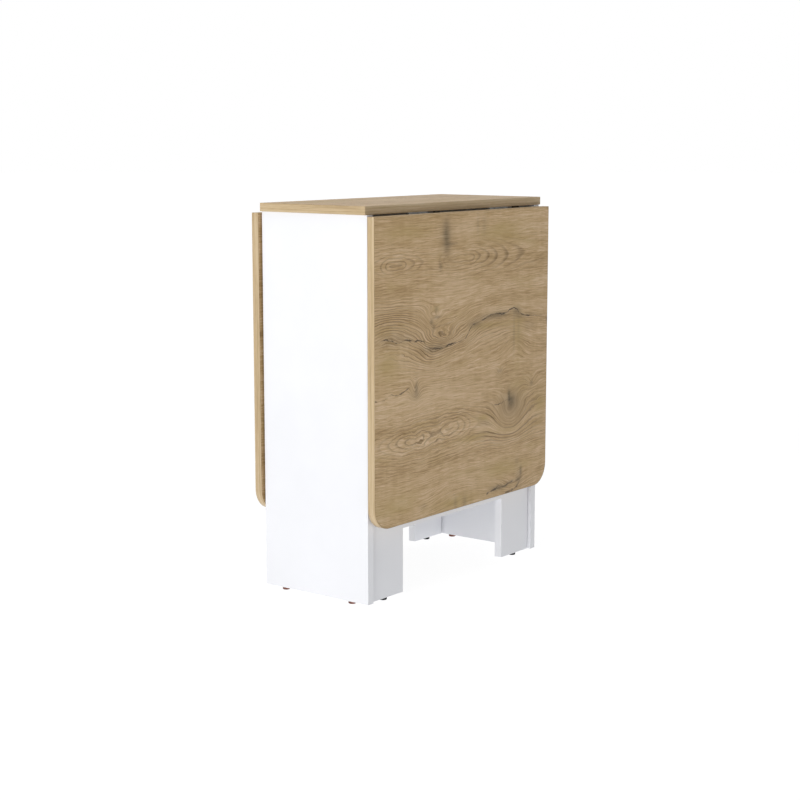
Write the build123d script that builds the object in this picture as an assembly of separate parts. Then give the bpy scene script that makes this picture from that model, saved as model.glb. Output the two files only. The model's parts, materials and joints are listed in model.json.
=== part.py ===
from build123d import *
import os

# Drop-leaf gateleg table in its folded state: a narrow fixed top on two end panels and
# a spine, two hanging leaves, and two board gates that swing out to carry the leaves.
# Frame: +Z up, X along the table's length, Y across it, origin on the floor at the centre.
# The table is unchanged by half a turn about Z, so the -Y half is drawn and turned.

# ---------------------------------------------------------------- driving dimensions, mm
TABLE_HEIGHT = 750.0
BOARD = 16.0
EDGE_BAND = 1.0

TOP_LENGTH = 580.0
TOP_WIDTH = 256.0
END_OVERHANG = 6.0          # top and leaves past the outer face of each end panel

LEAF_DROP = 582.0
LEAF_CORNER_RADIUS = 44.0
LEAF_GAP = 2.0              # between the top's long edge and the raised leaf

GLIDE_HEIGHT = 5.0
GLIDE_RADIUS = 7.5
GLIDE_CHAMFER = 1.0
STEM_RADIUS = 2.5
STEM_LENGTH = 12.0
END_GLIDE_Y = 83.0

SPINE_BOTTOM = 131.0

GATE_RECESS = 7.0           # gate's outer face behind the end panels' long edges
GATE_SIDE_GAP = 2.5
GATE_TOP = 727.0
STILE_WIDTH = 97.5
RAIL_HEIGHT = 80.0
RAIL_FITTING_INSET = 20.0   # cam and dowel from the rail's long edges
BOTTOM_RAIL_BOTTOM = 131.0
GATE_GLIDE_X = 220.0
REST_CLEARANCE = 0.3        # leaf rest below the underside of top and raised leaf

HINGE_WIDTH = 60.0
HINGE_FLAP = 30.0
HINGE_PLATE = 1.5
HINGE_OFFSET = 3.0          # hinge axis to each board face it joins
KNUCKLE_COUNT = 5
BARREL_RADIUS = 2.6
PIN_RADIUS = 1.3
PIN_CLEARANCE = 0.05
PIN_HEAD_RADIUS = 2.2
PIN_HEAD = 0.6
KNUCKLE_GAP = 0.15
FLAP_START = 0.5
NOTCH_DEPTH = 3.4
LEAF_HINGE_X = 133.0
GATE_HINGE_Z = (230.0, 630.0)

SCREW_HEAD_RADIUS = 3.0
SCREW_RADIUS = 1.6
SCREW_SHANK = 8.5
SCREW_TIP = 1.2
SCREW_RECESS = (3.6, 0.8, 0.9)      # cross recess: length, width, depth
SCREW_SPOTS = ((-22.0, 12.0), (22.0, 12.0), (-9.0, 22.0), (9.0, 22.0))

CAM_RADIUS = 7.5
CAM_DEPTH = 12.5
CAM_SETBACK = 24.0          # cam centre from the joint
CAM_RECESS = (9.0, 1.4, 2.0)
BOLT_RADIUS = 3.0
BOLT_THREAD_RADIUS = 2.5
BOLT_THREAD = 11.0
BOLT_PAST_CAM = 2.0         # bolt's end past the cam's centre
BOLT_END_PLAY = 1.0
DOWEL_RADIUS = 4.0
DOWEL_IN_FACE = 11.0
DOWEL_IN_EDGE = 20.0
FIT = 0.05                  # radial play of fittings in their holes
TOP_CAM_Y = 70.0
TOP_DOWEL_Y = 40.0
SPINE_CAM_INSETS = (60.0, 100.0)    # above the spine's lower edge, below its upper edge
SPINE_DOWEL_INSETS = (120.0, 160.0)

STOP_SIZE = (12.0, 12.0, 30.0)
STOP_Z = 430.0
STOP_CHAMFER = 1.5
STOP_CLEARANCE = 0.3        # behind the closed gate's free stile

BRACKET_WIDTH = 20.0
BRACKET_LEG = 28.0
BRACKET_PLATE = 1.5
BRACKET_SCREW_REACH = 16.8  # screws from the bracket's corner
BRACKET_X = (-150.0, 90.0)  # on the spine's front; the back ones are half a turn away

# ---------------------------------------------------------------- derived places
UNDERSIDE = TABLE_HEIGHT - BOARD
HALF_LENGTH = TOP_LENGTH / 2
HALF_WIDTH = TOP_WIDTH / 2
PANEL_OUTER = HALF_LENGTH - END_OVERHANG
PANEL_INNER = PANEL_OUTER - BOARD
PANEL_MIDDLE = PANEL_OUTER - BOARD / 2
LEAF_AXIS_Y = HALF_WIDTH + LEAF_GAP
LEAF_AXIS_Z = UNDERSIDE - HINGE_OFFSET
LEAF_INNER = LEAF_AXIS_Y + HINGE_OFFSET
LEAF_BOTTOM = LEAF_AXIS_Z - LEAF_DROP
GATE_FACE = HALF_WIDTH - GATE_RECESS
GATE_MIDDLE = GATE_FACE - BOARD / 2
GATE_AXIS_X = PANEL_INNER - HINGE_OFFSET
GATE_AXIS_Y = GATE_FACE + HINGE_OFFSET
STILE_OUTER = PANEL_INNER - GATE_SIDE_GAP
STILE_INNER = STILE_OUTER - STILE_WIDTH

UP = (0, 0, 1)
DOWN = (0, 0, -1)
LEFT = (-1, 0, 0)
RIGHT = (1, 0, 0)
FRONT = (0, -1, 0)
BACK = (0, 1, 0)


# ---------------------------------------------------------------- helpers
def block(x_low, x_high, y_low, y_high, z_low, z_high):
    corner = (Align.MIN, Align.MIN, Align.MIN)
    size = (x_high - x_low, y_high - y_low, z_high - z_low)
    return Pos(x_low, y_low, z_low) * Box(*size, align=corner)


def rod(radius, start, direction, length):
    base = (Align.CENTER, Align.CENTER, Align.MIN)
    return Plane(origin=start, z_dir=direction).location * Cylinder(radius, length, align=base)


def half_turn(shape):
    return Rot(0, 0, 180) * shape


def with_half_turn(shapes):
    return shapes + [half_turn(shape) for shape in shapes]


def cut(board, tools):
    for tool in tools:
        board = board - tool
    return board


def group(shapes):
    solids = []
    for shape in shapes:
        solids.extend(shape.solids())
    return Compound(solids)


# ---------------------------------------------------------------- fasteners and fittings
def screw_blank():
    """Countersunk wood screw, head flush at z = 0, pointing along +Z."""
    cone_base = (Align.CENTER, Align.CENTER, Align.MIN)
    head = Cone(SCREW_HEAD_RADIUS, SCREW_RADIUS, HINGE_PLATE, align=cone_base)
    shank = rod(SCREW_RADIUS, (0, 0, HINGE_PLATE), UP, SCREW_SHANK)
    tip = Cone(SCREW_RADIUS, SCREW_RADIUS / 4, SCREW_TIP, align=cone_base)
    return head + shank + Pos(0, 0, HINGE_PLATE + SCREW_SHANK) * tip


def cross_recess(length, width, depth):
    return Box(length, width, 2 * depth) + Box(width, length, 2 * depth)


SCREW_BLANK = screw_blank()
SCREW = SCREW_BLANK - cross_recess(*SCREW_RECESS)


def cam_joint(origin, into, face):
    """Cam lock between a board face and a board edge that meets it at origin.

    into points from the face into the edge board, and face is the outward normal of
    the side that the cam is turned from. Returns bolt, cam, edge cutter, face cutter.
    """
    place = Plane(origin=origin, x_dir=into, z_dir=face).location
    pocket_middle = BOARD / 2 - CAM_DEPTH / 2
    thread = rod(BOLT_THREAD_RADIUS, (-BOLT_THREAD, 0, 0), RIGHT, BOLT_THREAD)
    bolt_end = CAM_SETBACK + BOLT_PAST_CAM
    shank = rod(BOLT_RADIUS, (0, 0, 0), RIGHT, bolt_end)
    channel = rod(BOLT_RADIUS + FIT, (0, 0, 0), RIGHT, bolt_end + BOLT_END_PLAY)
    cam = Pos(CAM_SETBACK, 0, pocket_middle) * Cylinder(CAM_RADIUS, CAM_DEPTH)
    cam = cam - channel
    cam = cam - Pos(CAM_SETBACK, 0, BOARD / 2) * cross_recess(*CAM_RECESS)
    pocket = Pos(CAM_SETBACK, 0, pocket_middle) * Cylinder(CAM_RADIUS + FIT, CAM_DEPTH + 2 * FIT)
    face_hole = rod(BOLT_THREAD_RADIUS + FIT, (-BOLT_THREAD - FIT, 0, 0), RIGHT, BOLT_THREAD + FIT)
    shapes = (thread + shank, cam, channel + pocket, face_hole)
    return [place * shape for shape in shapes]


def dowel_joint(origin, into):
    """Dowel across the same joint. Returns dowel, edge cutter, face cutter."""
    place = Plane(origin=origin, z_dir=into).location
    radius = DOWEL_RADIUS + FIT
    dowel = rod(DOWEL_RADIUS, (0, 0, -DOWEL_IN_FACE), UP, DOWEL_IN_FACE + DOWEL_IN_EDGE)
    edge_hole = rod(radius, (0, 0, 0), UP, DOWEL_IN_EDGE + FIT)
    face_hole = rod(radius, (0, 0, -DOWEL_IN_FACE - FIT), UP, DOWEL_IN_FACE + FIT)
    return [place * shape for shape in (dowel, edge_hole, face_hole)]


def glide(origin, direction, height):
    """Push-in plastic glide: a chamfered disc with a stem going back into the board."""
    disc = Cylinder(GLIDE_RADIUS, height, align=(Align.CENTER, Align.CENTER, Align.MIN))
    disc = chamfer(disc.edges().group_by(Axis.Z)[-1], GLIDE_CHAMFER)
    stem = rod(STEM_RADIUS, (0, 0, 0), DOWN, STEM_LENGTH)
    hole = rod(STEM_RADIUS + FIT, (0, 0, 0), DOWN, STEM_LENGTH + FIT)
    place = Plane(origin=origin, z_dir=direction).location
    return place * (disc + stem), place * hole


# ---------------------------------------------------------------- butt hinge
KNUCKLE = HINGE_WIDTH / KNUCKLE_COUNT
KNUCKLE_STARTS = [-HINGE_WIDTH / 2 + i * KNUCKLE for i in range(KNUCKLE_COUNT)]
FIXED_KNUCKLES = KNUCKLE_STARTS[0::2]
MOVING_KNUCKLES = KNUCKLE_STARTS[1::2]


def hinge_plate(origin, extend, normal, own, other):
    """One plate of a butt hinge and its screws.

    origin is the middle of the hinge axis, extend points along the plate away from the
    axis, and normal points from the axis to the board face that the plate lies on.
    Returns the plate, its screws and the matching screw cutters.
    """
    axis = Vector(*extend).cross(Vector(*normal))
    place = Plane(origin=origin, x_dir=axis, z_dir=normal).location
    half = HINGE_WIDTH / 2
    low = HINGE_OFFSET - HINGE_PLATE
    plate = block(-half, half, FLAP_START, HINGE_FLAP, low, HINGE_OFFSET)
    for start in other:
        edges = (start - KNUCKLE_GAP, start + KNUCKLE + KNUCKLE_GAP)
        plate = plate - block(*edges, 0, NOTCH_DEPTH, 0, HINGE_OFFSET)
    for start in own:
        length = KNUCKLE - 2 * KNUCKLE_GAP
        plate = plate + rod(BARREL_RADIUS, (start + KNUCKLE_GAP, 0, 0), RIGHT, length)
    plate = plate - rod(PIN_RADIUS + PIN_CLEARANCE, (-half, 0, 0), RIGHT, HINGE_WIDTH)
    spots = [Pos(x, y, low) for x, y in SCREW_SPOTS]
    cutters = [spot * SCREW_BLANK for spot in spots]
    screws = [place * (spot * SCREW) for spot in spots]
    return place * cut(plate, cutters), screws, [place * cutter for cutter in cutters]


def hinge_pin(origin, axis):
    """Hinge pin with a low head at each end of the barrel."""
    half = HINGE_WIDTH / 2
    pin = rod(PIN_RADIUS, (0, 0, -half), UP, HINGE_WIDTH)
    pin = pin + rod(PIN_HEAD_RADIUS, (0, 0, half), UP, PIN_HEAD)
    pin = pin + rod(PIN_HEAD_RADIUS, (0, 0, -half), DOWN, PIN_HEAD)
    return Plane(origin=origin, z_dir=axis).location * pin


# ---------------------------------------------------------------- nodes of the assembly
nodes = {}

# Hinges: the -Y leaf has one near each end, and its gate has two on the left end panel.
leaf_hinges = {}
for side, hinge_x in (("left", -LEAF_HINGE_X), ("right", LEAF_HINGE_X)):
    middle = (hinge_x, -LEAF_AXIS_Y, LEAF_AXIS_Z)
    fixed = hinge_plate(middle, BACK, UP, FIXED_KNUCKLES, MOVING_KNUCKLES)
    moving = hinge_plate(middle, DOWN, FRONT, MOVING_KNUCKLES, FIXED_KNUCKLES)
    leaf_hinges[side] = (fixed, moving, hinge_pin(middle, RIGHT))

gate_hinges = {}
for level, hinge_z in zip(("lower", "upper"), GATE_HINGE_Z):
    middle = (-GATE_AXIS_X, -GATE_AXIS_Y, hinge_z)
    fixed = hinge_plate(middle, BACK, LEFT, FIXED_KNUCKLES, MOVING_KNUCKLES)
    moving = hinge_plate(middle, RIGHT, BACK, MOVING_KNUCKLES, FIXED_KNUCKLES)
    gate_hinges[level] = (fixed, moving, hinge_pin(middle, UP))


# Leaf: a laminated board with its two lower corners rounded, edged all round.
def leaf_outline(inset):
    """Leaf seen along +Y, as a face at y = 0, inset on its sides and bottom."""
    half = HALF_LENGTH - inset
    bottom = LEAF_BOTTOM + inset
    top = LEAF_AXIS_Z - inset
    radius = LEAF_CORNER_RADIUS - inset
    height = top - bottom
    face = Plane.XZ * Pos(0, (top + bottom) / 2) * Rectangle(2 * half, height)
    return fillet(face.vertices().group_by(Axis.Z)[0], radius)


def leaf_board(inset):
    thick = extrude(leaf_outline(inset), BOARD, dir=(0, -1, 0))
    return Pos(0, -LEAF_INNER, 0) * thick


leaf_screws = []
leaf_cutters = []
for fixed, moving, pin in leaf_hinges.values():
    leaf_screws += moving[1]
    leaf_cutters += moving[2]
leaf_panel = cut(leaf_board(EDGE_BAND), leaf_cutters)
leaf_band = leaf_board(0) - leaf_board(EDGE_BAND)

# Gate: two stiles, two rails, joined by cams and dowels whose faces look inwards.
gate_levels = (
    (BOTTOM_RAIL_BOTTOM, BOTTOM_RAIL_BOTTOM + RAIL_HEIGHT),
    (GATE_TOP - RAIL_HEIGHT, GATE_TOP),
)
gate_y = (-GATE_FACE, -GATE_FACE + BOARD)
hinge_stile = block(-STILE_OUTER, -STILE_INNER, *gate_y, GLIDE_HEIGHT, GATE_TOP)
free_stile = block(STILE_INNER, STILE_OUTER, *gate_y, GLIDE_HEIGHT, GATE_TOP)
rails = [block(-STILE_INNER, STILE_INNER, *gate_y, low, high) for low, high in gate_levels]

gate_bolts = []
gate_cams = []
gate_dowels = []
stile_cutters = []
for index, (low, high) in enumerate(gate_levels):
    cam_z = low + RAIL_FITTING_INSET
    dowel_z = high - RAIL_FITTING_INSET
    for end, into in ((-STILE_INNER, RIGHT), (STILE_INNER, LEFT)):
        bolt, cam, edge_cut, face_cut = cam_joint((end, -GATE_MIDDLE, cam_z), into, BACK)
        dowel, dowel_edge, dowel_face = dowel_joint((end, -GATE_MIDDLE, dowel_z), into)
        gate_bolts.append(bolt)
        gate_cams.append(cam)
        gate_dowels.append(dowel)
        stile_cutters += [face_cut, dowel_face]
        rails[index] = cut(rails[index], [edge_cut, dowel_edge])

gate_screws = []
gate_screw_cutters = []
for fixed, moving, pin in gate_hinges.values():
    gate_screws += moving[1]
    gate_screw_cutters += moving[2]

gate_glides = []
for glide_x in (-GATE_GLIDE_X, GATE_GLIDE_X):
    foot, foot_hole = glide((glide_x, -GATE_MIDDLE, GLIDE_HEIGHT), DOWN, GLIDE_HEIGHT)
    gate_glides.append(foot)
    stile_cutters.append(foot_hole)
rest_height = UNDERSIDE - REST_CLEARANCE - GATE_TOP
leaf_rest, rest_hole = glide((GATE_GLIDE_X, -GATE_MIDDLE, GATE_TOP), UP, rest_height)
stile_cutters.append(rest_hole)
hinge_stile = cut(hinge_stile, stile_cutters + gate_screw_cutters)
free_stile = cut(free_stile, stile_cutters)

# Half a turn takes a front piece on the left (-X) to a back piece on the right (+X).
front_sides = {"left": "left", "right": "right"}
back_sides = {"left": "right", "right": "left"}
halves = (("front", lambda shape: shape, front_sides), ("back", half_turn, back_sides))
for name, turn, sides in halves:
    nodes[name + "_leaf_panel"] = turn(leaf_panel)
    nodes[name + "_leaf_edge_band"] = turn(leaf_band)
    for side, (fixed, moving, pin) in leaf_hinges.items():
        nodes[f"{name}_leaf_{sides[side]}_hinge_top_plate"] = turn(fixed[0])
        nodes[f"{name}_leaf_{sides[side]}_hinge_leaf_plate"] = turn(moving[0])
    nodes[name + "_leaf_hinge_pins"] = turn(group([h[2] for h in leaf_hinges.values()]))
    nodes[name + "_leaf_hinge_screws"] = turn(group(leaf_screws))

    nodes[name + "_gate_hinge_stile"] = turn(hinge_stile)
    nodes[name + "_gate_free_stile"] = turn(free_stile)
    nodes[name + "_gate_bottom_rail"] = turn(rails[0])
    nodes[name + "_gate_top_rail"] = turn(rails[1])
    nodes[name + "_gate_cam_locks"] = turn(group(gate_cams))
    nodes[name + "_gate_cam_bolts"] = turn(group(gate_bolts))
    nodes[name + "_gate_dowels"] = turn(group(gate_dowels))
    nodes[name + "_gate_glides"] = turn(group(gate_glides))
    nodes[name + "_gate_leaf_rest"] = turn(leaf_rest)
    for level, (fixed, moving, pin) in gate_hinges.items():
        nodes[f"{name}_gate_{level}_hinge_panel_plate"] = turn(fixed[0])
        nodes[f"{name}_gate_{level}_hinge_gate_plate"] = turn(moving[0])
    nodes[name + "_gate_hinge_pins"] = turn(group([h[2] for h in gate_hinges.values()]))
    nodes[name + "_gate_hinge_screws"] = turn(group(gate_screws))


# Frame: top, end panels and spine, joined by cams, dowels and angle brackets.
def top_board(inset):
    half_x = HALF_LENGTH - inset
    half_y = HALF_WIDTH - inset
    return block(-half_x, half_x, -half_y, half_y, UNDERSIDE, TABLE_HEIGHT)


top_panel = top_board(EDGE_BAND)
top_band = top_board(0) - top_board(EDGE_BAND)
panel_size = (-HALF_WIDTH, HALF_WIDTH, GLIDE_HEIGHT, UNDERSIDE)
left_panel = block(-PANEL_OUTER, -PANEL_INNER, *panel_size)
spine = block(-PANEL_INNER, PANEL_INNER, -BOARD / 2, BOARD / 2, SPINE_BOTTOM, UNDERSIDE)

frame_bolts = []
frame_cams = []
frame_dowels = []
panel_cutters = []
top_cutters = []
spine_cutters = []

# Left end panel to the underside of the top.
for y in (-TOP_CAM_Y, TOP_CAM_Y):
    origin = (-PANEL_MIDDLE, y, UNDERSIDE)
    bolt, cam, edge_cut, face_cut = cam_joint(origin, DOWN, RIGHT)
    frame_bolts.append(bolt)
    frame_cams.append(cam)
    panel_cutters.append(edge_cut)
    top_cutters.append(face_cut)
for y in (-TOP_DOWEL_Y, TOP_DOWEL_Y):
    dowel, edge_hole, face_hole = dowel_joint((-PANEL_MIDDLE, y, UNDERSIDE), DOWN)
    frame_dowels.append(dowel)
    panel_cutters.append(edge_hole)
    top_cutters.append(face_hole)

# Spine to the inner face of the left end panel.
for z in (SPINE_BOTTOM + SPINE_CAM_INSETS[0], UNDERSIDE - SPINE_CAM_INSETS[1]):
    bolt, cam, edge_cut, face_cut = cam_joint((-PANEL_INNER, 0, z), RIGHT, FRONT)
    frame_bolts.append(bolt)
    frame_cams.append(cam)
    spine_cutters.append(edge_cut)
    panel_cutters.append(face_cut)
for z in (SPINE_BOTTOM + SPINE_DOWEL_INSETS[0], UNDERSIDE - SPINE_DOWEL_INSETS[1]):
    dowel, edge_hole, face_hole = dowel_joint((-PANEL_INNER, 0, z), RIGHT)
    frame_dowels.append(dowel)
    spine_cutters.append(edge_hole)
    panel_cutters.append(face_hole)

# Gate hinge screws and floor glides in the left end panel.
panel_screws = []
for fixed, moving, pin in gate_hinges.values():
    panel_screws += fixed[1]
    panel_cutters += fixed[2]
end_glides = []
for y in (-END_GLIDE_Y, END_GLIDE_Y):
    foot, foot_hole = glide((-PANEL_MIDDLE, y, GLIDE_HEIGHT), DOWN, GLIDE_HEIGHT)
    end_glides.append(foot)
    panel_cutters.append(foot_hole)

# Stop on the right end panel that the closed front gate rests its free stile against.
stop_y = -GATE_FACE + BOARD + STOP_CLEARANCE
stop_low = (PANEL_INNER - STOP_SIZE[0], stop_y, STOP_Z - STOP_SIZE[2] / 2)
gate_stop = Pos(*stop_low) * Box(*STOP_SIZE, align=(Align.MIN, Align.MIN, Align.MIN))
gate_stop = chamfer(gate_stop.edges().group_by(Axis.X)[0], STOP_CHAMFER)

# Leaf hinge screws in the top.
top_screws = []
for fixed, moving, pin in leaf_hinges.values():
    top_screws += fixed[1]
    top_cutters += fixed[2]

# Angle brackets on the spine's front face, under the top.
brackets = []
bracket_screws = []
for x in BRACKET_X:
    edges = (x - BRACKET_WIDTH / 2, x + BRACKET_WIDTH / 2)
    face = -BOARD / 2
    upright = block(*edges, face - BRACKET_PLATE, face, UNDERSIDE - BRACKET_LEG, UNDERSIDE)
    flat = block(*edges, face - BRACKET_LEG, face, UNDERSIDE - BRACKET_PLATE, UNDERSIDE)
    top_face = UNDERSIDE - BRACKET_PLATE
    spine_z = UNDERSIDE - BRACKET_SCREW_REACH
    into_top = Plane(origin=(x, face - BRACKET_SCREW_REACH, top_face), z_dir=UP).location
    into_spine = Plane(origin=(x, face - BRACKET_PLATE, spine_z), z_dir=BACK).location
    cutters = [into_top * SCREW_BLANK, into_spine * SCREW_BLANK]
    brackets.append(cut(upright + flat, cutters))
    bracket_screws += [into_top * SCREW, into_spine * SCREW]
    top_cutters.append(cutters[0])
    spine_cutters.append(cutters[1])

left_panel = cut(left_panel, panel_cutters)
nodes["top_panel"] = cut(top_panel, with_half_turn(top_cutters))
nodes["top_edge_band"] = top_band
nodes["left_end_panel"] = left_panel
nodes["right_end_panel"] = half_turn(left_panel)
nodes["spine_panel"] = cut(spine, with_half_turn(spine_cutters))
nodes["end_panel_glides"] = group(with_half_turn(end_glides))
nodes["gate_stops"] = group(with_half_turn([gate_stop]))
nodes["top_brackets"] = group(with_half_turn(brackets))
nodes["top_bracket_screws"] = group(with_half_turn(bracket_screws))
nodes["frame_cam_locks"] = group(with_half_turn(frame_cams))
nodes["frame_cam_bolts"] = group(with_half_turn(frame_bolts))
nodes["frame_dowels"] = group(with_half_turn(frame_dowels))
nodes["top_hinge_screws"] = group(with_half_turn(top_screws))
nodes["panel_hinge_screws"] = group(with_half_turn(panel_screws))

os.makedirs("parts", exist_ok=True)
for name, shape in nodes.items():
    export_step(shape, f"parts/{name}.step")
print(len(nodes), "nodes written")
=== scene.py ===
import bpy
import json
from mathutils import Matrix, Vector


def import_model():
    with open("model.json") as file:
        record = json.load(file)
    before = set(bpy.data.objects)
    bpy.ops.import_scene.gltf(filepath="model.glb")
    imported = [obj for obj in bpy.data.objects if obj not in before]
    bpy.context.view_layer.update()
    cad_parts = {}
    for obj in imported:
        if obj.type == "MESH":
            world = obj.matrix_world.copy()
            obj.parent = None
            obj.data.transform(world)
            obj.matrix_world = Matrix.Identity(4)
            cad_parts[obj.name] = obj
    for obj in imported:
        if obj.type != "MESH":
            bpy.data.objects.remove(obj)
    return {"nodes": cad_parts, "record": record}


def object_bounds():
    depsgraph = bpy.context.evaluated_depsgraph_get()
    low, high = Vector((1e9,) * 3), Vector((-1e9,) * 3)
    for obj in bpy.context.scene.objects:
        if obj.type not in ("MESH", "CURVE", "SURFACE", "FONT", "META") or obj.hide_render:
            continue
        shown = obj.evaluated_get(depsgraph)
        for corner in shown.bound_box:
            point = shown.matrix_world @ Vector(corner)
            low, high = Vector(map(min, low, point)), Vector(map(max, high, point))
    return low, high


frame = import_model()
cad_box = [list(corner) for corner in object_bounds()]

import json

import bmesh
import bpy
from mathutils import Vector

# Folded gateleg table. The CAD nodes keep their shape: they get eased edges and materials.
# Lengths are metres, in the table's own frame: X along the top, Y across, Z up.

TABLE_HEIGHT = cad_box[1][2]
X_AXIS, Y_AXIS, Z_AXIS = 0, 1, 2


def srgb(red, green, blue):
    """A screen colour, 0 to 255, as a linear colour."""
    linear = []
    for value in (red, green, blue):
        v = value / 255
        linear.append(v / 12.92 if v <= 0.04045 else ((v + 0.055) / 1.055) ** 2.4)
    return (*linear, 1.0)


# ---------------------------------------------------------------- node graph helper
class Graph:
    """Adds nodes to one node tree and links them."""

    def __init__(self, tree):
        self.tree = tree

    def feed(self, socket, value):
        if isinstance(value, bpy.types.NodeSocket):
            self.tree.links.new(value, socket)
        else:
            socket.default_value = value

    def add(self, kind, inputs=None, **settings):
        node = self.tree.nodes.new(kind)
        for name, value in settings.items():
            setattr(node, name, value)
        for name, value in (inputs or {}).items():
            self.feed(node.inputs[name], value)
        return node

    def math(self, operation, *values, clamp=False):
        node = self.add("ShaderNodeMath", operation=operation, use_clamp=clamp)
        for index, value in enumerate(values):
            self.feed(node.inputs[index], value)
        return node.outputs[0]

    def total(self, values):
        result = values[0]
        for value in values[1:]:
            result = self.math("ADD", result, value)
        return result

    def vector(self, x=0.0, y=0.0, z=0.0):
        return self.add("ShaderNodeCombineXYZ", {0: x, 1: y, 2: z}).outputs[0]

    def noise(self, vector, scale=1.0, detail=2.0, roughness=0.5):
        inputs = {"Vector": vector, "Scale": scale, "Detail": detail, "Roughness": roughness}
        return self.add("ShaderNodeTexNoise", inputs).outputs[0]

    def remap(self, value, low, high, new_low=0.0, new_high=1.0, smooth=True):
        kind = "SMOOTHSTEP" if smooth else "LINEAR"
        inputs = {0: value, 1: low, 2: high, 3: new_low, 4: new_high}
        return self.add("ShaderNodeMapRange", inputs, interpolation_type=kind).outputs[0]

    def mix(self, factor, first, second, blend="MIX"):
        node = self.add("ShaderNodeMix", data_type="RGBA", blend_type=blend)
        self.feed(node.inputs[0], factor)
        self.feed(node.inputs[6], first)
        self.feed(node.inputs[7], second)
        return node.outputs[2]

    def ramp(self, value, stops):
        node = self.add("ShaderNodeValToRGB", {0: value})
        elements = node.color_ramp.elements
        while len(elements) < len(stops):
            elements.new(0.5)
        for element, (position, colour) in zip(elements, stops):
            element.position = position
            element.color = colour
        return node.outputs[0]

    def curve(self, value, points):
        node = self.add("ShaderNodeFloatCurve", {1: value})
        line = node.mapping.curves[0]
        while len(line.points) < len(points):
            line.points.new(0.5, 0.5)
        for point, place in zip(line.points, points):
            point.location = place
        node.mapping.update()
        return node.outputs[0]

    def bump(self, height, distance, strength=1.0):
        inputs = {"Height": height, "Distance": distance, "Strength": strength}
        return self.add("ShaderNodeBump", inputs).outputs[0]


class Surface(Graph):
    """A new material: its node graph, Principled shader and object coordinates."""

    def __init__(self, name):
        self.material = bpy.data.materials.new(name)
        self.material.use_nodes = True
        super().__init__(self.material.node_tree)
        self.shader = self.tree.nodes["Principled BSDF"]
        self.place = self.add("ShaderNodeTexCoord").outputs["Object"]
        self.axes = self.add("ShaderNodeSeparateXYZ", {0: self.place}).outputs

    def stretched(self, cycles, special_axis, special_cycles):
        """Coordinates in cycles per metre, with another count along one axis."""
        scaled = [self.math("MULTIPLY", axis, cycles) for axis in self.axes]
        scaled[special_axis] = self.math("MULTIPLY", self.axes[special_axis], special_cycles)
        return self.vector(*scaled)

    def finish(self, colour, roughness, height, depth, strength):
        """Links colour, roughness and a bump of the given height field, and gives the material."""
        self.feed(self.shader.inputs["Base Color"], colour)
        self.feed(self.shader.inputs["Roughness"], roughness)
        self.feed(self.shader.inputs["Normal"], self.bump(height, depth, strength))
        return self.material


def spot_group():
    """Node group: a soft elliptical spot, 1 at its centre, falling off as a bell curve."""
    group = bpy.data.node_groups.new("soft_spot", "ShaderNodeTree")
    graph = Graph(group)
    for name in ("Along", "Across", "Centre Along", "Centre Across", "Reach Along", "Reach Across"):
        group.interface.new_socket(name, in_out="INPUT", socket_type="NodeSocketFloat")
    group.interface.new_socket("Spot", in_out="OUTPUT", socket_type="NodeSocketFloat")
    given = graph.add("NodeGroupInput").outputs
    squares = []
    for along in (0, 1):
        offset = graph.math("SUBTRACT", given[along], given[along + 2])
        ratio = graph.math("DIVIDE", offset, given[along + 4])
        squares.append(graph.math("MULTIPLY", ratio, ratio))
    distance = graph.math("ADD", *squares)
    spot = graph.math("EXPONENT", graph.math("MULTIPLY", distance, -1.0))
    output = graph.add("NodeGroupOutput")
    graph.feed(output.inputs[0], spot)
    return group


SOFT_SPOT = spot_group()


# ---------------------------------------------------------------- oak decor
# Figure of the leaf. Along is X and across is Z on a hanging leaf, in metres.
# A knot bends the growth lines round it: centre, reach along, across, and push.
LEAF_KNOTS = (
    (-0.240, 0.520, 0.070, 0.036, -0.020),
    (-0.110, 0.536, 0.022, 0.018, 0.016),
    (-0.085, 0.496, 0.050, 0.013, 0.020),
    (-0.120, 0.452, 0.060, 0.026, 0.018),
    (0.175, 0.455, 0.050, 0.030, -0.018),
    (-0.167, 0.400, 0.013, 0.022, 0.020),
    (0.117, 0.404, 0.009, 0.009, 0.012),
    (0.155, 0.308, 0.058, 0.044, 0.056),
    (0.235, 0.372, 0.020, 0.016, 0.012),
    (0.160, 0.165, 0.055, 0.020, 0.018),
    (-0.040, 0.190, 0.080, 0.030, -0.012),
)
# Growth rings that close round a heart line, as in a cathedral figure: the heart's place
# across the board, then points along it and the rings' distance from the heart there.
LEAF_FOLDS = (
    (0.640, (
        (-0.313, 0.020), (-0.288, 0.018), (-0.258, 0.009), (-0.225, 0.000), (-0.192, 0.009),
        (-0.162, 0.015), (-0.135, 0.020), (-0.110, 0.021), (-0.080, 0.014), (-0.040, 0.005),
        (0.000, 0.004), (0.035, 0.012), (0.070, 0.018), (0.094, 0.023), (0.113, 0.027),
        (0.164, 0.036), (0.216, 0.040), (0.290, 0.040),
    )),
    (0.312, (
        (-0.290, 0.026), (-0.250, 0.018), (-0.205, 0.008), (-0.165, 0.001), (-0.130, 0.009),
        (-0.095, 0.013), (-0.060, 0.006), (-0.025, 0.013), (0.005, 0.022), (0.040, 0.030),
        (0.290, 0.034),
    )),
)
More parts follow.
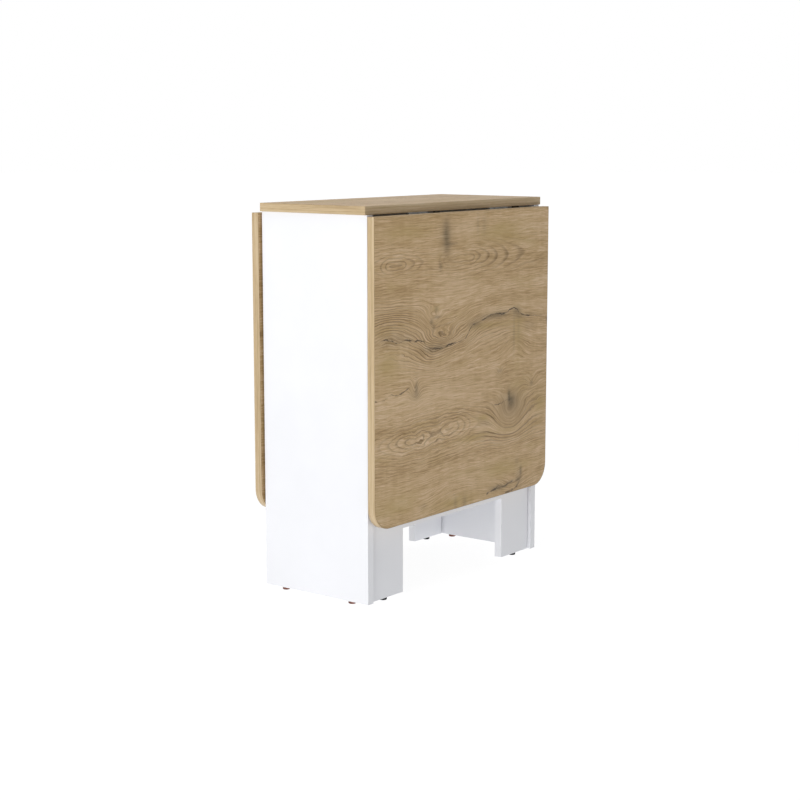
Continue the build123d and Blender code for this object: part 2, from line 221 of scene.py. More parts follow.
# Places where the growth lines are dark and crowded: centre, reach along, across, amount.
LEAF_FIGURED = (
    (-0.225, 0.643, 0.085, 0.020, 1.00),
    (0.110, 0.638, 0.160, 0.022, 1.10),
    (-0.235, 0.540, 0.075, 0.030, 1.60),
    (-0.090, 0.492, 0.085, 0.026, 1.40),
    (0.060, 0.500, 0.110, 0.026, 0.35),
    (-0.130, 0.460, 0.080, 0.030, 0.85),
    (0.120, 0.480, 0.130, 0.030, 0.35),
    (-0.130, 0.308, 0.140, 0.036, 1.15),
    (0.215, 0.315, 0.045, 0.050, 1.40),
    (0.085, 0.305, 0.024, 0.035, 1.20),
    (0.140, 0.276, 0.090, 0.020, 1.20),
    (-0.040, 0.340, 0.060, 0.010, 0.60),
    (-0.100, 0.255, 0.260, 0.012, 0.35),
    (-0.167, 0.400, 0.022, 0.022, 0.60),
    (0.117, 0.404, 0.014, 0.012, 0.70),
    (0.180, 0.160, 0.060, 0.018, 0.45),
)
# Places where the lines are curly: centre, reach along, across, amount.
LEAF_CURLY = (
    (-0.120, 0.308, 0.130, 0.034, 2.2),
    (-0.110, 0.530, 0.024, 0.024, 2.4),
    (-0.065, 0.492, 0.070, 0.014, 2.4),
    (0.070, 0.515, 0.080, 0.012, 1.8),
    (0.230, 0.320, 0.034, 0.044, 2.6),
    (-0.205, 0.468, 0.022, 0.020, 1.8),
)
# Smooth hearts of knots, without lines: centre, reach along, across, amount.
LEAF_CALM = (
    (0.156, 0.332, 0.048, 0.030, 1.90),
    (-0.070, 0.690, 0.030, 0.040, 0.60),
)
# Yellow-olive zones of the board, and paler ones: centre, reach along, across, amount.
LEAF_OLIVE = (
    (-0.190, 0.700, 0.075, 0.016, 0.70),
    (0.130, 0.684, 0.090, 0.020, 0.85),
    (-0.250, 0.452, 0.050, 0.028, 0.75),
    (0.090, 0.502, 0.070, 0.006, 0.80),
    (0.055, 0.318, 0.026, 0.006, 0.90),
    (0.190, 0.360, 0.040, 0.022, 0.60),
    (0.262, 0.320, 0.024, 0.026, 0.70),
    (0.030, 0.284, 0.060, 0.006, 0.60),
    (0.130, 0.205, 0.080, 0.018, 0.80),
    (-0.240, 0.192, 0.070, 0.026, 0.75),
    (-0.020, 0.164, 0.090, 0.016, 0.80),
    (0.180, 0.470, 0.020, 0.050, 0.55),
    (-0.100, 0.550, 0.014, 0.006, 0.80),
)
LEAF_PALE = (
    (-0.040, 0.590, 0.060, 0.026, 0.55),
    (-0.010, 0.702, 0.050, 0.016, 0.60),
    (-0.090, 0.385, 0.160, 0.030, 0.45),
    (0.060, 0.300, 0.030, 0.012, 0.45),
    (0.075, 0.482, 0.080, 0.014, 0.40),
    (0.100, 0.532, 0.050, 0.005, 0.60),
    (-0.080, 0.540, 0.016, 0.004, 0.70),
    (0.020, 0.205, 0.060, 0.016, 0.35),
    (-0.210, 0.465, 0.010, 0.010, 0.50),
)
# Grey-brown stains in the decor: centre, reach along, across, depth of colour.
LEAF_STAINS = (
    (-0.069, 0.696, 0.010, 0.022, 0.46),
    (-0.066, 0.670, 0.010, 0.018, 0.34),
    (-0.068, 0.684, 0.022, 0.042, 0.34),
    (-0.052, 0.671, 0.020, 0.0025, 0.40),
    (0.036, 0.705, 0.005, 0.024, 0.20),
    (0.058, 0.702, 0.010, 0.022, 0.20),
    (-0.087, 0.630, 0.006, 0.008, 0.48),
    (0.156, 0.332, 0.046, 0.030, 0.50),
    (0.150, 0.352, 0.005, 0.014, 0.60),
    (0.162, 0.342, 0.014, 0.012, 0.42),
    (-0.116, 0.526, 0.005, 0.005, 0.65),
    (-0.100, 0.548, 0.006, 0.006, 0.45),
    (-0.098, 0.534, 0.012, 0.003, 0.55),
    (-0.108, 0.515, 0.005, 0.006, 0.45),
    (-0.225, 0.502, 0.050, 0.012, 0.34),
    (-0.105, 0.474, 0.036, 0.008, 0.50),
    (0.028, 0.509, 0.022, 0.007, 0.58),
    (0.085, 0.520, 0.046, 0.006, 0.55),
    (0.120, 0.522, 0.030, 0.007, 0.35),
    (0.176, 0.523, 0.014, 0.008, 0.60),
    (0.205, 0.512, 0.034, 0.004, 0.45),
    (0.222, 0.490, 0.022, 0.010, 0.20),
    (0.166, 0.478, 0.004, 0.040, 0.26),
    (0.182, 0.490, 0.005, 0.030, 0.18),
    (-0.163, 0.406, 0.005, 0.012, 0.48),
    (-0.163, 0.392, 0.014, 0.010, 0.30),
    (0.233, 0.369, 0.006, 0.005, 0.50),
    (0.115, 0.407, 0.009, 0.004, 0.35),
    (0.110, 0.167, 0.026, 0.006, 0.60),
    (0.160, 0.172, 0.014, 0.003, 0.50),
    (0.190, 0.180, 0.014, 0.018, 0.30),
    (0.196, 0.189, 0.004, 0.010, 0.60),
    (0.186, 0.171, 0.009, 0.005, 0.50),
    (0.128, 0.166, 0.022, 0.003, 0.40),
    (-0.003, 0.158, 0.008, 0.012, 0.34),
    (-0.035, 0.161, 0.006, 0.012, 0.34),
    (-0.141, 0.172, 0.012, 0.006, 0.22),
    (0.181, 0.212, 0.008, 0.010, 0.20),
    (0.288, 0.498, 0.004, 0.006, 0.70),
)
# Drying cracks printed in the decor: half width, darkness, then points along and across.
LEAF_CRACKS = (
    (0.0010, 0.95, (
        (-0.290, 0.503), (-0.262, 0.505), (-0.241, 0.502), (-0.216, 0.496), (-0.192, 0.499),
        (-0.172, 0.495), (-0.146, 0.493), (-0.128, 0.479), (-0.101, 0.473), (-0.059, 0.477),
        (-0.012, 0.482), (0.020, 0.508), (0.061, 0.517), (0.094, 0.524), (0.128, 0.522),
        (0.166, 0.530), (0.184, 0.519), (0.214, 0.511), (0.290, 0.505),
    )),
    (0.0010, 0.75, (
        (-0.298, 0.395), (-0.255, 0.395), (-0.245, 0.401), (-0.220, 0.398), (-0.209, 0.400),
        (-0.194, 0.405), (-0.180, 0.409),
    )),
    (0.0010, 0.85, ((0.096, 0.339), (0.120, 0.340), (0.132, 0.343), (0.156, 0.343))),
    (0.0018, 0.85, (
        (0.070, 0.159), (0.092, 0.164), (0.104, 0.166), (0.115, 0.171), (0.128, 0.166),
        (0.150, 0.169), (0.172, 0.175),
    )),
    (0.0024, 0.70, (
        (0.138, 0.150), (0.160, 0.153), (0.176, 0.156), (0.187, 0.163), (0.193, 0.172),
        (0.197, 0.194),
    )),
)
# The growth lines near this line follow it: base, reach across, and its points.
GUIDE_BASE = 0.500
GUIDE_REACH = 0.050
LEAF_GUIDE = (
    (-0.290, 0.503), (-0.216, 0.499), (-0.172, 0.496), (-0.128, 0.481), (-0.101, 0.474),
    (-0.059, 0.476), (-0.012, 0.485), (0.020, 0.500), (0.061, 0.513), (0.120, 0.519),
    (0.166, 0.520), (0.214, 0.514), (0.290, 0.506),
)
RINGS_PER_METRE = 165.0

# Plainer figure of the top, in the same kinds of rows. Along is X and across is Y.
TOP_KNOTS = (
    (0.120, 0.055, 0.110, 0.022, -0.032),
    (0.020, -0.085, 0.060, 0.014, 0.016),
)
TOP_FOLDS = (
    (-0.030, (
        (-0.290, 0.034), (-0.240, 0.026), (-0.200, 0.016), (-0.160, 0.006), (-0.110, 0.003),
        (-0.040, 0.008), (0.030, 0.015), (0.110, 0.024), (0.200, 0.033), (0.290, 0.042),
    )),
)
TOP_FIGURED = (
    (-0.100, -0.040, 0.200, 0.040, 0.8),
    (0.120, 0.055, 0.160, 0.040, 0.8),
)
TOP_OLIVE = (
    (-0.180, 0.070, 0.120, 0.030, 0.70),
    (0.100, -0.060, 0.140, 0.026, 0.60),
)
TOP_PALE = (
    (0.000, 0.020, 0.140, 0.024, 0.50),
)
TOP_STAINS = (
    (-0.180, 0.030, 0.030, 0.007, 0.45),
    (0.160, -0.050, 0.022, 0.008, 0.45),
)

# Colours of the oak decor, its edging, the white boards and the beech.
OAK_DARK = srgb(158, 127, 76)
OAK_MIDDLE = srgb(196, 164, 119)
OAK_LIGHT = srgb(221, 194, 157)
OAK_OLIVE = srgb(180, 153, 93)
OAK_PALE = srgb(217, 189, 151)
OAK_LINE = srgb(112, 84, 41)
STAIN = srgb(93, 77, 46)
CRACK = srgb(67, 51, 29)
EDGING_TONES = (
    (0.36, srgb(170, 145, 107)),
    (0.50, srgb(194, 170, 132)),
    (0.62, srgb(205, 184, 150)),
)
WHITE_LOW = srgb(240, 241, 245)
WHITE_HIGH = srgb(243, 244, 248)
WHITE_DUST = srgb(205, 206, 212)
BEECH_DARK = srgb(176, 132, 92)
BEECH_LIGHT = srgb(214, 176, 134)
# Share of the fine flecks in the edging's tone.
FLECK_SHARE = 0.3
# Clouded steel's share of the clean colour, and the spread of its brushed roughness.
DULL_SHARE = 0.78
BRUSH_DEPTH = 0.16


def spots(graph, along, across, rows):
    """One soft spot per row, each times the row's last number."""
    found = []
    for centre_along, centre_across, reach_along, reach_across, amount in rows:
        node = graph.add("ShaderNodeGroup", node_tree=SOFT_SPOT)
        values = (along, across, centre_along, centre_across, reach_along, reach_across)
        for socket, value in zip(node.inputs, values):
            graph.feed(socket, value)
        found.append(graph.math("MULTIPLY", node.outputs[0], amount))
    return graph.total(found) if found else 0.0


# Room round a path's curve, and the shares of a crack's length in which it begins and ends.
PATH_MARGIN = 0.01
BEGINS_WITHIN = 0.05
ENDS_FROM = 0.90


def crack_path(graph, along, points):
    """Across-position of a crack at each place along the board, and 1 between its ends."""
    low = min(place[1] for place in points) - PATH_MARGIN
    high = max(place[1] for place in points) + PATH_MARGIN
    start = points[0][0]
    span = points[-1][0] - start
    share = graph.math("DIVIDE", graph.math("SUBTRACT", along, start), span)
    curve = graph.curve(share, [((a - start) / span, (b - low) / (high - low)) for a, b in points])
    path = graph.math("MULTIPLY_ADD", curve, high - low, low)
    begun = graph.remap(share, 0.0, BEGINS_WITHIN)
    ended = graph.remap(share, ENDS_FROM, 1.0, 1.0, 0.0)
    return path, graph.math("MULTIPLY", begun, ended)


def folded(graph, along, grain, folds):
    """Grain whose level lines close round each fold's heart."""
    for heart, points in folds:
        start = points[0][0]
        span = points[-1][0] - start
        widest = max(place[1] for place in points)
        share = graph.math("DIVIDE", graph.math("SUBTRACT", along, start), span)
        width = graph.curve(share, [((a - start) / span, w / widest) for a, w in points])
        width = graph.math("MULTIPLY", width, widest)
        offset = graph.math("SUBTRACT", grain, heart)
        square = graph.math("MULTIPLY_ADD", width, width, graph.math("MULTIPLY", offset, offset))
        grain = graph.math("SUBTRACT", heart, graph.math("SQRT", square))
    return grain


# Noise fields of the oak decor: cycles per metre along and across, detail, roughness.
OAK_NOISE = {
    "flow": (2.6, 4.0, 1.0, 0.5),
    "ripple": (26.0, 60.0, 2.0, 0.5),
    "shiver": (110.0, 190.0, 2.0, 0.5),
    "broad": (1.4, 34.0, 2.0, 0.5),
    "fibres": (17.0, 440.0, 3.0, 0.62),
    "threads": (40.0, 1250.0, 2.0, 0.6),
    "rays": (75.0, 14.0, 2.0, 0.5),
    "drift": (7.0, 26.0, 2.0, 0.5),
    "ring_drift": (0.8, 24.0, 1.0, 0.5),
    "ring_zones": (3.0, 22.0, 2.0, 0.5),
    "crack_wander": (110.0, 90.0, 3.0, 0.5),
    "crack_breaks": (45.0, 12.0, 2.0, 0.5),
}
# How far the growth lines swing, in metres, and how many rings they drift.
FLOW_SWING = 0.040
RIPPLE_SWING = 0.0058
SHIVER_SWING = 0.0013
CRACK_SWING = 0.007
RING_DRIFT = 3.0
# Share of each noise field in the wood's tone, and the tones of its three colours.
TONE_SHARES = {"broad": 0.22, "fibres": 0.42, "threads": 0.30, "rays": 0.06}
OAK_TONES = ((0.38, OAK_DARK), (0.50, OAK_MIDDLE), (0.61, OAK_LIGHT))
# How much of each zone's colour shows.
OLIVE_AMOUNT = 0.90
HEART_AMOUNT = 0.45
LINE_AMOUNT = 0.80
# Where in a ring's width its dark line starts and is darkest.
LINE_START = 0.45
LINE_DARKEST = 0.86
# Remapped noise: two of its values, then what each becomes. Beyond them it stays level.
OLIVE_PATCHES = (0.35, 0.60, 0.55, 1.00)
OLIVE_STRAYS = (0.54, 0.74, 0.00, 0.35)
PALE_STREAKS = (0.30, 0.60, 0.40, 1.10)
LINE_ZONES = (0.42, 0.75, 0.03, 0.30)
LINE_FIBRES = (0.25, 0.58, 1.10, 0.55)
PORE_DARKNESS = (0.38, 0.26, 0.00, 0.40)
STAIN_FIBRES = (0.30, 0.62, 1.10, 0.72)
CRACK_BREAKS = (0.36, 0.60, 0.22, 1.00)
OAK_ROUGHNESS = (0.20, 0.80, 0.56, 0.42)
# A crack's core and outer edge, in half widths, and the least it is wide, in metres.
CRACK_CORE = 0.4
CRACK_EDGE = 1.6
CRACK_HAIR = 0.0002
# Pores' share of the relief beside the fibres', the relief's depth in metres, and its strength.
PORE_RELIEF = -1.2
OAK_RELIEF = 0.00012
OAK_RELIEF_STRENGTH = 0.6


class Oak(Surface):
    """Oak decor with its grain along X. flip of -1 mirrors the figure end for end."""

    def __init__(self, name, across_axis, figure, flip, seed):
        super().__init__(name)
        self.along = self.math("MULTIPLY", self.axes[X_AXIS], flip)
        self.across = self.axes[across_axis]
        self.figure = figure
        self.seed = seed

    def wave(self, kind, across):
        """One of the noise fields, drawn over the given across-position."""
        cycles_along, cycles_across, detail, roughness = OAK_NOISE[kind]
        number = 1 + list(OAK_NOISE).index(kind)
        stretched = self.vector(
            self.math("MULTIPLY", self.along, cycles_along),
            self.math("MULTIPLY", across, cycles_across),
            self.seed + number,
        )
        return self.noise(stretched, detail=detail, roughness=roughness)

    def swing(self, kind, height):
        """A noise field as an offset of up to half of height either way."""
        value = self.wave(kind, self.across)
        return self.math("MULTIPLY", self.math("SUBTRACT", value, 0.5), height)

    def placed(self, kind):
        return spots(self, self.along, self.across, self.figure[kind])

    def guide(self):
        """Offset that makes the growth lines follow the figure's guide line."""
        path = crack_path(self, self.along, self.figure["guide"])[0]
        away = self.math("DIVIDE", self.math("SUBTRACT", self.across, GUIDE_BASE), GUIDE_REACH)
        square = self.math("MULTIPLY", away, away)
        near = self.math("EXPONENT", self.math("MULTIPLY", square, -1.0))
        return self.math("MULTIPLY", self.math("SUBTRACT", GUIDE_BASE, path), near)

    def bent_grain(self):
        """Field whose level lines are the growth lines: flow, ripple, knots and guide bend it."""
        curly = self.math("ADD", self.placed("curly"), 1.0)
        ripple = self.swing("ripple", RIPPLE_SWING)
        shiver = self.swing("shiver", SHIVER_SWING)
        bends = [self.across, self.swing("flow", FLOW_SWING), self.placed("knots")]
        bends.append(self.math("MULTIPLY", ripple, curly))
        bends.append(self.math("MULTIPLY", shiver, curly))
        if self.figure["guide"]:
            bends.append(self.guide())
        return self.total(bends)

    def wood(self, grain, fibres, threads):
        """Plain wood: fine fibres and faint cross rays, with olive and pale zones."""
        fields = {
            "broad": self.wave("broad", grain),
            "fibres": fibres,
            "threads": threads,
            "rays": self.wave("rays", self.across),
        }
        tone = 0.0
        for kind, share in TONE_SHARES.items():
            tone = self.math("MULTIPLY_ADD", fields[kind], share, tone)
        colour = self.ramp(tone, OAK_TONES)
        drift = self.wave("drift", self.across)
        patchy = self.remap(drift, *OLIVE_PATCHES)
        olive = self.math("MULTIPLY", self.placed("olive"), patchy)
        olive = self.math("ADD", olive, self.remap(drift, *OLIVE_STRAYS))
        olive = self.math("MULTIPLY", olive, OLIVE_AMOUNT, clamp=True)
        colour = self.mix(olive, colour, OAK_OLIVE)
        streaky = self.remap(fibres, *PALE_STREAKS)
        pale = self.math("MULTIPLY", self.placed("pale"), streaky, clamp=True)
        return self.mix(pale, colour, OAK_PALE)

    def growth_lines(self, grain, fibres, calm):
        """Dark line of each growth ring, strongest in the figured places."""
        folds = folded(self, self.along, grain, self.figure["folds"])
        drift = self.math("MULTIPLY", self.wave("ring_drift", folds), RING_DRIFT)
        count = self.math("MULTIPLY_ADD", folds, RINGS_PER_METRE, drift)
        spacing = self.math("FRACT", count)
        rise = self.remap(spacing, LINE_START, LINE_DARKEST)
        fall = self.remap(spacing, LINE_DARKEST, 1.0, 1.0, 0.0)
        rings = self.math("MULTIPLY", rise, fall)
        strength = self.remap(self.wave("ring_zones", grain), *LINE_ZONES)
        strength = self.math("ADD", strength, self.placed("figured"))
        fibrous = self.remap(fibres, *LINE_FIBRES)
        strength = self.math("MULTIPLY", strength, fibrous)
        return self.math("MULTIPLY", self.math("MULTIPLY", rings, strength), calm, clamp=True)

    def crack(self, row, wander, broken):
        """Darkness of one crack: ragged, broken and faded at its ends."""
        half_width, darkness, points = row
        path, between = crack_path(self, self.along, points)
        offset = self.math("ADD", self.math("SUBTRACT", self.across, path), wander)
        width = self.math("ADD", self.math("MULTIPLY", broken, half_width), CRACK_HAIR)
        shape = self.math("DIVIDE", self.math("ABSOLUTE", offset), width)
        dark = self.remap(shape, CRACK_CORE, CRACK_EDGE, darkness, 0.0)
        return self.math("MULTIPLY", self.math("MULTIPLY", dark, between), broken)


def oak_material(name, across_axis, figure, flip, seed):
    oak = Oak(name, across_axis, figure, flip, seed)
    grain = oak.bent_grain()
    fibres = oak.wave("fibres", grain)
    threads = oak.wave("threads", grain)
    colour = oak.wood(grain, fibres, threads)

    heart = oak.placed("calm")
    calm = oak.math("SUBTRACT", 1.0, heart, clamp=True)
    smooth = oak.math("MULTIPLY", heart, HEART_AMOUNT, clamp=True)
    colour = oak.mix(smooth, colour, OAK_MIDDLE)
    lines = oak.growth_lines(grain, fibres, calm)
    colour = oak.mix(oak.math("MULTIPLY", lines, LINE_AMOUNT), colour, OAK_LINE)
    pores = oak.math("MULTIPLY", oak.remap(threads, *PORE_DARKNESS), calm)
    colour = oak.mix(pores, colour, STAIN)
    ragged = oak.remap(fibres, *STAIN_FIBRES)
    stain = oak.math("MULTIPLY", oak.placed("stains"), ragged, clamp=True)
    colour = oak.mix(stain, colour, STAIN)

    relief = oak.math("MULTIPLY_ADD", pores, PORE_RELIEF, fibres)
    wander = oak.swing("crack_wander", CRACK_SWING)
    broken = oak.remap(oak.wave("crack_breaks", oak.across), *CRACK_BREAKS)
    for row in figure["cracks"]:
        crack = oak.crack(row, wander, broken)
        colour = oak.mix(crack, colour, CRACK)
        relief = oak.math("SUBTRACT", relief, crack)

    roughness = oak.remap(fibres, *OAK_ROUGHNESS)
    return oak.finish(colour, roughness, relief, OAK_RELIEF, OAK_RELIEF_STRENGTH)


LEAF_FIGURE = {
    "knots": LEAF_KNOTS,
    "folds": LEAF_FOLDS,
    "figured": LEAF_FIGURED,
    "curly": LEAF_CURLY,
    "calm": LEAF_CALM,
    "olive": LEAF_OLIVE,
    "pale": LEAF_PALE,
    "stains": LEAF_STAINS,
    "cracks": LEAF_CRACKS,
    "guide": LEAF_GUIDE,
}
TOP_FIGURE = {
    "knots": TOP_KNOTS,
    "folds": TOP_FOLDS,
    "figured": TOP_FIGURED,
    "curly": (),
    "calm": (),
    "olive": TOP_OLIVE,
    "pale": TOP_PALE,
    "stains": TOP_STAINS,
    "cracks": (),
    "guide": (),
}


def edging_material(name, thickness_axis):
    """Oak edge strip: fine streaks that run along the strip, whichever way it turns."""
    surface = Surface(name)
    broad = surface.stretched(5.0, thickness_axis, special_cycles=290.0)
    streaks = surface.noise(broad, detail=3.0, roughness=0.6)
    fine = surface.stretched(60.0, thickness_axis, special_cycles=1600.0)
    flecks = surface.noise(fine, detail=2.0, roughness=0.6)
    streak_tone = surface.math("MULTIPLY", streaks, 1.0 - FLECK_SHARE)
    tone = surface.math("MULTIPLY_ADD", flecks, FLECK_SHARE, streak_tone)
    colour = surface.ramp(tone, EDGING_TONES)
    roughness = surface.remap(flecks, 0.2, 0.8, new_low=0.5, new_high=0.38)
    return surface.finish(colour, roughness, tone, depth=0.00006, strength=0.5)


# ---------------------------------------------------------------- other materials
def white_laminate():
    """White melamine-faced board: faint pebble texture and barely uneven white."""
    surface = Surface("white_laminate")
    cloud = surface.noise(surface.place, scale=9.0, detail=3.0)
    speck = surface.noise(surface.place, scale=900.0, detail=2.0)
    tint = surface.ramp(cloud, [(0.30, WHITE_LOW), (0.70, WHITE_HIGH)])
    dust = surface.remap(speck, 0.62, 0.78, new_low=0.0, new_high=0.05)
    colour = surface.mix(dust, tint, WHITE_DUST)
    roughness = surface.remap(speck, 0.3, 0.7, new_low=0.36, new_high=0.44)
    return surface.finish(colour, roughness, speck, depth=0.00004, strength=0.35)


def metal_material(name, colour, brush_axis, roughness):
    """Zinc-plated steel with fine lines along one axis and slight clouding."""
    surface = Surface(name)
    brushed = surface.noise(surface.stretched(1800.0, brush_axis, special_cycles=60.0), detail=2.0)
    cloud = surface.noise(surface.place, scale=140.0, detail=3.0)
    dull = tuple(DULL_SHARE * part for part in colour[:3]) + (1.0,)
    clouded = surface.mix(surface.remap(cloud, 0.35, 0.7), colour, dull)
    rough = surface.math("MULTIPLY_ADD", brushed, BRUSH_DEPTH, roughness - BRUSH_DEPTH / 2)
    surface.shader.inputs["Metallic"].default_value = 1.0
    return surface.finish(clouded, rough, brushed, depth=0.00002, strength=0.5)


def plastic(name, dark, light):
    """Moulded polyethylene with a fine grained skin."""
    surface = Surface(name)
    grain = surface.noise(surface.place, scale=1400.0, detail=2.0)
    cloud = surface.noise(surface.place, scale=160.0, detail=2.0)
    colour = surface.ramp(cloud, [(0.3, dark), (0.7, light)])
    roughness = surface.remap(grain, 0.3, 0.7, new_low=0.42, new_high=0.58)
    return surface.finish(colour, roughness, grain, depth=0.00005, strength=0.5)


def beech():
    """Turned beech dowel with short darker flecks."""
    surface = Surface("beech_dowel")
    fleck = surface.noise(surface.stretched(500.0, X_AXIS, special_cycles=60.0), detail=3.0)
    colour = surface.ramp(fleck, [(0.35, BEECH_DARK), (0.6, BEECH_LIGHT)])
    roughness = surface.remap(fleck, 0.3, 0.7, new_low=0.6, new_high=0.75)
    return surface.finish(colour, roughness, fleck, depth=0.00008, strength=0.5)


OAK_TOP = oak_material("oak_top", Y_AXIS, TOP_FIGURE, flip=1.0, seed=34.0)
OAK_FRONT = oak_material("oak_front_leaf", Z_AXIS, LEAF_FIGURE, flip=1.0, seed=1.0)
OAK_BACK = oak_material("oak_back_leaf", Z_AXIS, LEAF_FIGURE, flip=-1.0, seed=67.0)
TOP_EDGING = edging_material("oak_edging_top", Z_AXIS)
LEAF_EDGING = edging_material("oak_edging_leaf", Y_AXIS)
WHITE = white_laminate()
HINGE_STEEL = metal_material("steel_hinge", srgb(206, 208, 211), X_AXIS, roughness=0.34)
ZINC = metal_material("zinc_fittings", srgb(188, 190, 196), Z_AXIS, roughness=0.40)
DARK_PLASTIC = plastic("dark_plastic", dark=srgb(44, 33, 29), light=srgb(66, 51, 45))
BROWN_PLASTIC = plastic("brown_plastic", dark=srgb(100, 54, 38), light=srgb(126, 70, 50))
BLACK_PLASTIC = plastic("black_plastic", dark=srgb(14, 14, 16), light=srgb(27, 27, 30))
BEECH = beech()

BY_SLOT = {
    "white_laminate": WHITE,
    "steel_hinge": HINGE_STEEL,
    "zinc_fittings": ZINC,
    "dark_plastic": DARK_PLASTIC,
    "beech_dowel": BEECH,
}
BY_NODE = {
    "top_panel": OAK_TOP,
    "front_leaf_panel": OAK_FRONT,
    "back_leaf_panel": OAK_BACK,
    "top_edge_band": TOP_EDGING,
    "front_leaf_edge_band": LEAF_EDGING,
    "back_leaf_edge_band": LEAF_EDGING,
    "end_panel_glides": BROWN_PLASTIC,
    "front_gate_glides": BLACK_PLASTIC,
    "back_gate_glides": BLACK_PLASTIC,
}
# Radius of the eased edges of each slot's pieces, in metres. At 0 they stay sharp.
EASED = {
    "oak_laminate": 0.0,
    "oak_edging": 0.0005,
    "white_laminate": 0.0004,
    "steel_hinge": 0.00015,
    "zinc_fittings": 0.0001,
    "dark_plastic": 0.0003,
    "beech_dowel": 0.0,
}

# Corners closer than this, in metres, are joined, and edges that turn more, in radians, are eased.
WELD_REACH = 0.000002
SHARP_ANGLE = 0.7


def ease_edges(piece, radius):
    """Rounds the piece's sharp edges with modifiers; its own mesh stays as it is."""
    weld = piece.modifiers.new("join_corners", "WELD")
    weld.merge_threshold = WELD_REACH
    bevel = piece.modifiers.new("eased_edges", "BEVEL")
    bevel.width = radius
    bevel.segments = 2
    bevel.limit_method = "ANGLE"
    bevel.angle_limit = SHARP_ANGLE
    bevel.harden_normals = True
    bevel.use_clamp_overlap = True


for entry in frame["record"]["subparts"]:
    piece = frame["nodes"][entry["node"]]
    slot = entry["material_slot"]
    material = BY_NODE.get(entry["node"]) or BY_SLOT[slot]
    piece.data.materials.clear()
    piece.data.materials.append(material)
    if EASED[slot]:
        ease_edges(piece, EASED[slot])


# ---------------------------------------------------------------- stage, light, camera
FLOOR_HALF = 40.0
FLOOR_COLOUR = (0.16, 0.16, 0.162, 1.0)
FLOOR_GLOW_NEAR = 0.93
FLOOR_GLOW_FAR = 1.0
FLOOR_NEAR = 1.5
FLOOR_FAR = 5.0
BACKDROP_RADIUS = 35.0
WHITE_LIGHT = (1.0, 1.0, 1.0, 1.0)
SKY_COLOUR = (0.95, 0.97, 1.0, 1.0)


def floor():
    """Pale floor that glows like an evenly lit studio table, so the shadows stay faint."""
    mesh = bpy.data.meshes.new("studio_floor")
    corners = [(-FLOOR_HALF, -FLOOR_HALF, 0.0), (FLOOR_HALF, -FLOOR_HALF, 0.0)]
    corners += [(FLOOR_HALF, FLOOR_HALF, 0.0), (-FLOOR_HALF, FLOOR_HALF, 0.0)]
    mesh.from_pydata(corners, [], [(0, 1, 2, 3)])
    piece = bpy.data.objects.new("studio_floor", mesh)
    bpy.context.scene.collection.objects.link(piece)
    surface = Surface("studio_floor")
    length = surface.add("ShaderNodeVectorMath", {0: surface.place}, operation="LENGTH")
    distance = length.outputs["Value"]
    glow = surface.remap(distance, FLOOR_NEAR, FLOOR_FAR, FLOOR_GLOW_NEAR, FLOOR_GLOW_FAR)
    surface.shader.inputs["Base Color"].default_value = FLOOR_COLOUR
    surface.shader.inputs["Roughness"].default_value = 0.9
    surface.shader.inputs["Specular IOR Level"].default_value = 0.0
    surface.shader.inputs["Emission Color"].default_value = WHITE_LIGHT
    surface.feed(surface.shader.inputs["Emission Strength"], glow)
    mesh.materials.append(surface.material)


def backdrop():
    """White dome far behind everything, which only the camera sees."""
    mesh = bpy.data.meshes.new("studio_backdrop")
    shape = bmesh.new()
    bmesh.ops.create_icosphere(shape, subdivisions=3, radius=BACKDROP_RADIUS)
    shape.to_mesh(mesh)
    shape.free()
    piece = bpy.data.objects.new("studio_backdrop", mesh)
    bpy.context.scene.collection.objects.link(piece)
    material = bpy.data.materials.new("studio_backdrop")
    material.use_nodes = True
    graph = Graph(material.node_tree)
    material.node_tree.nodes.remove(material.node_tree.nodes["Principled BSDF"])
    glow = graph.add("ShaderNodeEmission", {"Color": WHITE_LIGHT, "Strength": 1.0})
    graph.feed(material.node_tree.nodes["Material Output"].inputs["Surface"], glow.outputs[0])
    mesh.materials.append(material)
    piece.visible_diffuse = False
    piece.visible_glossy = False
    piece.visible_transmission = False
    piece.visible_volume_scatter = False
    piece.visible_shadow = False


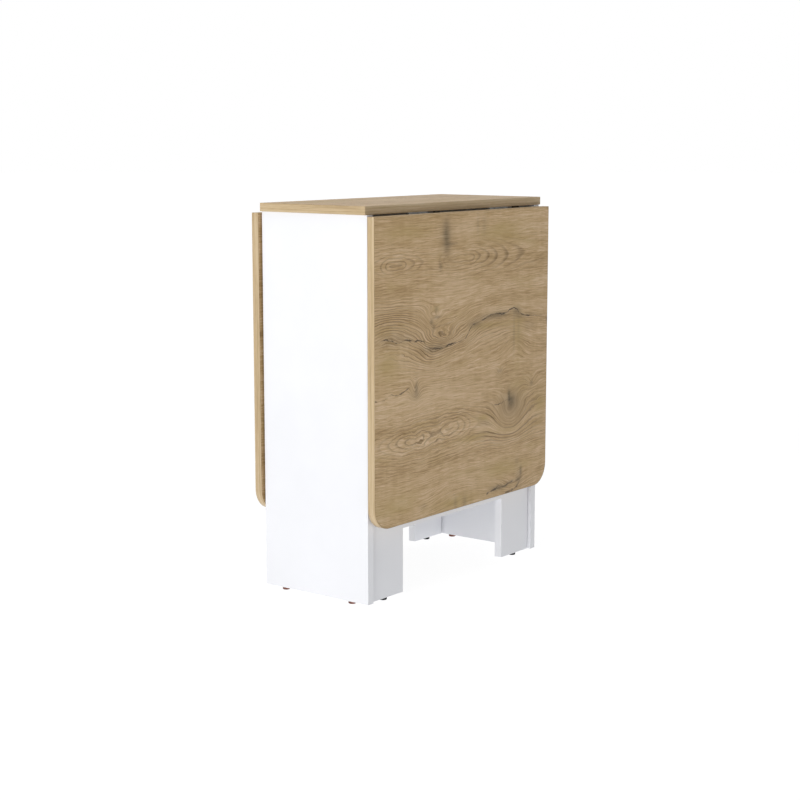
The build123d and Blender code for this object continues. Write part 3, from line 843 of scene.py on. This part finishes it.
def softbox(name, place, target, size, power, colour):
    """Rectangular light at a place, aimed at its target, with its power in watts."""
    light = bpy.data.lights.new(name, "AREA")
    light.shape = "RECTANGLE"
    light.size, light.size_y = size
    light.energy = power
    light.color = colour
    piece = bpy.data.objects.new(name, light)
    bpy.context.scene.collection.objects.link(piece)
    piece.location = place
    aim = Vector(target) - Vector(place)
    piece.rotation_euler = aim.to_track_quat("-Z", "Y").to_euler()
    piece.visible_camera = False


def world(strength):
    scene_world = bpy.data.worlds.new("studio")
    scene_world.use_nodes = True
    background = scene_world.node_tree.nodes["Background"]
    background.inputs["Color"].default_value = SKY_COLOUR
    background.inputs["Strength"].default_value = strength
    bpy.context.scene.world = scene_world


floor()
backdrop()
world(strength=0.13)
softbox(
    "left_softbox",
    place=(-3.4, -0.45, 1.15),
    target=(0.0, 0.0, TABLE_HEIGHT / 2),
    size=(2.4, 2.0),
    power=57.0,
    colour=(1.0, 0.995, 0.985),
)
softbox(
    "overhead_softbox",
    place=(-0.4, 0.2, 3.4),
    target=(0.0, 0.0, 0.4),
    size=(3.0, 3.0),
    power=58.0,
    colour=(1.0, 1.0, 1.0),
)
softbox(
    "back_softbox",
    place=(3.3, 2.6, 1.9),
    target=(0.0, 0.0, TABLE_HEIGHT),
    size=(2.6, 1.6),
    power=14.0,
    colour=(1.0, 1.0, 1.0),
)

# The camera stands in front of the table's left end, a little above the top.
CAMERA_PLACE = (-2.6747, -2.0483, 0.8821)
CAMERA_DIRECTION = (0.7819, 0.6034, -0.1568)
SENSOR_MM = 36.0
LENS_MM = 75.9
camera_data = bpy.data.cameras.new("camera")
camera = bpy.data.objects.new("camera", camera_data)
bpy.context.scene.collection.objects.link(camera)
camera.location = CAMERA_PLACE
view_direction = Vector(CAMERA_DIRECTION)
camera.rotation_euler = view_direction.to_track_quat("-Z", "Y").to_euler()
camera_data.sensor_width = SENSOR_MM
camera_data.lens = LENS_MM
bpy.context.scene.camera = camera

bpy.context.scene.view_settings.view_transform = "Standard"
bpy.context.scene.view_settings.look = "None"
bpy.context.scene.cycles.use_denoising = True
